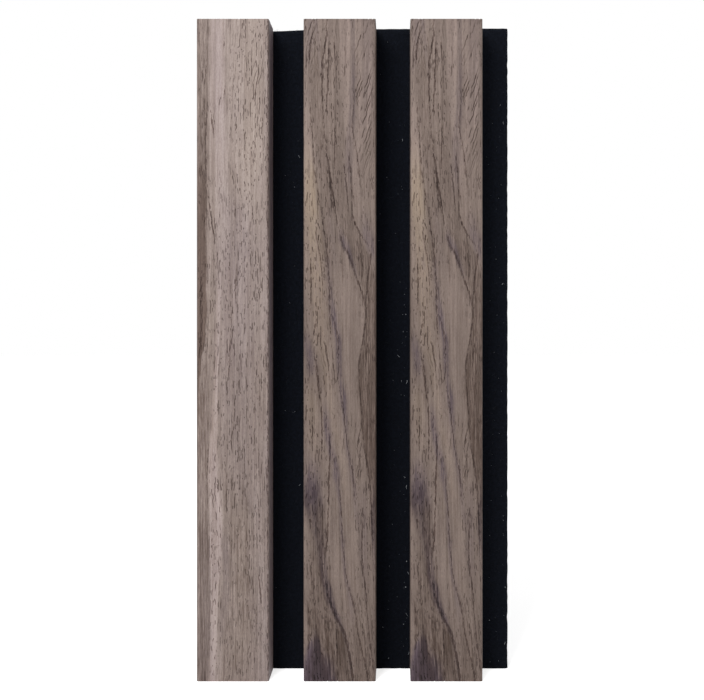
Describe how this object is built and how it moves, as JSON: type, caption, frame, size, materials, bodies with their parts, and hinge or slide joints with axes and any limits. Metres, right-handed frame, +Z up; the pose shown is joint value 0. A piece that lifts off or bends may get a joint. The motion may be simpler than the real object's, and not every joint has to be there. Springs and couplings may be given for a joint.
{
  "type": "acoustic slat wall panel",
  "caption": "Sample length of an acoustic wall panel: walnut-veneered fibreboard slats, spaced apart on a black felt backing, sawn flush at both ends, with a bare felt lap down one side.",
  "frame": {"origin": "middle of the felt's wall face", "axes": "+Y out of the back of the panel into the wall, +Z up along the slats, +X to the right for someone who faces the slats"},
  "size_m": [0.1174, 0.0213, 0.248],
  "materials": {
    "walnut_veneer": "real veneer with open pores under a matt oil lacquer",
    "fibreboard": "medium density fibreboard, sawn at the ends",
    "black_felt": "needle-punched polyester felt, matt",
    "glue": "pressed bead of set glue",
    "staple_wire": "galvanised flat wire"
  },
  "bodies": {
    "root": {"felt_backing": "black_felt", "left_slat_core": "fibreboard", "left_slat_veneer": "walnut_veneer", "left_slat_left_glue_bead": "glue", "left_slat_right_glue_bead": "glue", "left_slat_staples": "staple_wire", "middle_slat_core": "fibreboard", "middle_slat_veneer": "walnut_veneer", "middle_slat_left_glue_bead": "glue", "middle_slat_right_glue_bead": "glue", "middle_slat_staples": "staple_wire", "right_slat_core": "fibreboard", "right_slat_veneer": "walnut_veneer", "right_slat_left_glue_bead": "glue", "right_slat_right_glue_bead": "glue", "right_slat_staples": "staple_wire"}
  },
  "joints": []
}
